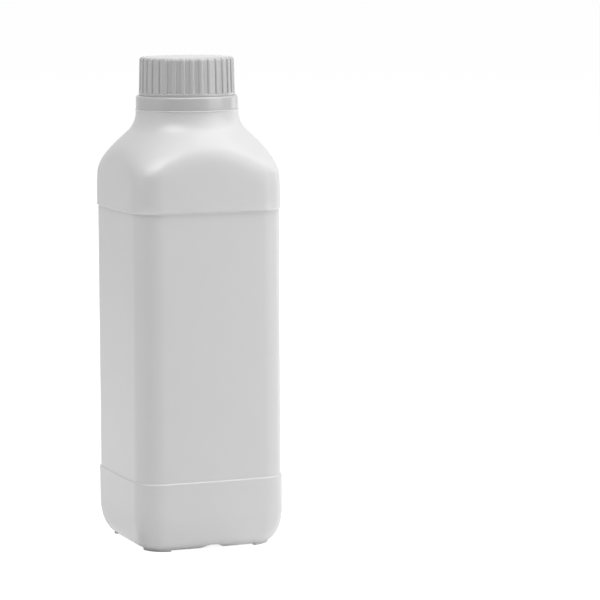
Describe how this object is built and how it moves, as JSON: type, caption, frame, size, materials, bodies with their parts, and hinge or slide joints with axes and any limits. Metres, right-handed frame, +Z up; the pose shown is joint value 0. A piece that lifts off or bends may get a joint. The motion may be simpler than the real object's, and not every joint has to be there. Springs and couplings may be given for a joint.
{
  "type": "safety cap bottle",
  "caption": "Square blow-moulded bottle with a ribbed screw cap, tamper-evident ring, sunk label panel, domed shoulder and pushed-up base on arc feet.",
  "frame": {"origin": "middle of the plane that the arc feet stand on, on the neck's axis", "axes": "+Z up along the neck's axis; the mould's parting plane is X = 0, so the base notches are in the middle of the -Y and +Y sides; the -Y side is the wide one in the picture"},
  "size_m": [0.077, 0.077, 0.2376],
  "materials": {
    "bottle_plastic": "satin blow-moulded polyethylene, white",
    "cap_plastic": "satin injection-moulded plastic, light grey-white",
    "seal_foam": "matt foamed sealing disc"
  },
  "bodies": {
    "bottle": {"bottle": "bottle_plastic", "tamper_ring": "cap_plastic"},
    "liner": {"liner": "seal_foam"},
    "cap": {"cap": "cap_plastic"}
  },
  "joints": [
    {"name": "cap_rise", "type": "slide", "parent": "bottle", "child": "liner", "axis": [0, 0, 1], "range_m": [0, 0.018]},
    {"name": "cap_turn", "type": "hinge", "parent": "liner", "child": "cap", "pos_m": [0, 0, 0.2376], "axis": [0, 0, 1], "range_deg": [0, 1620]}
  ],
  "couplings": [
    {"joint": "cap_rise", "follows": "cap_turn", "m_per_rad": 0.00063662}
  ]
}
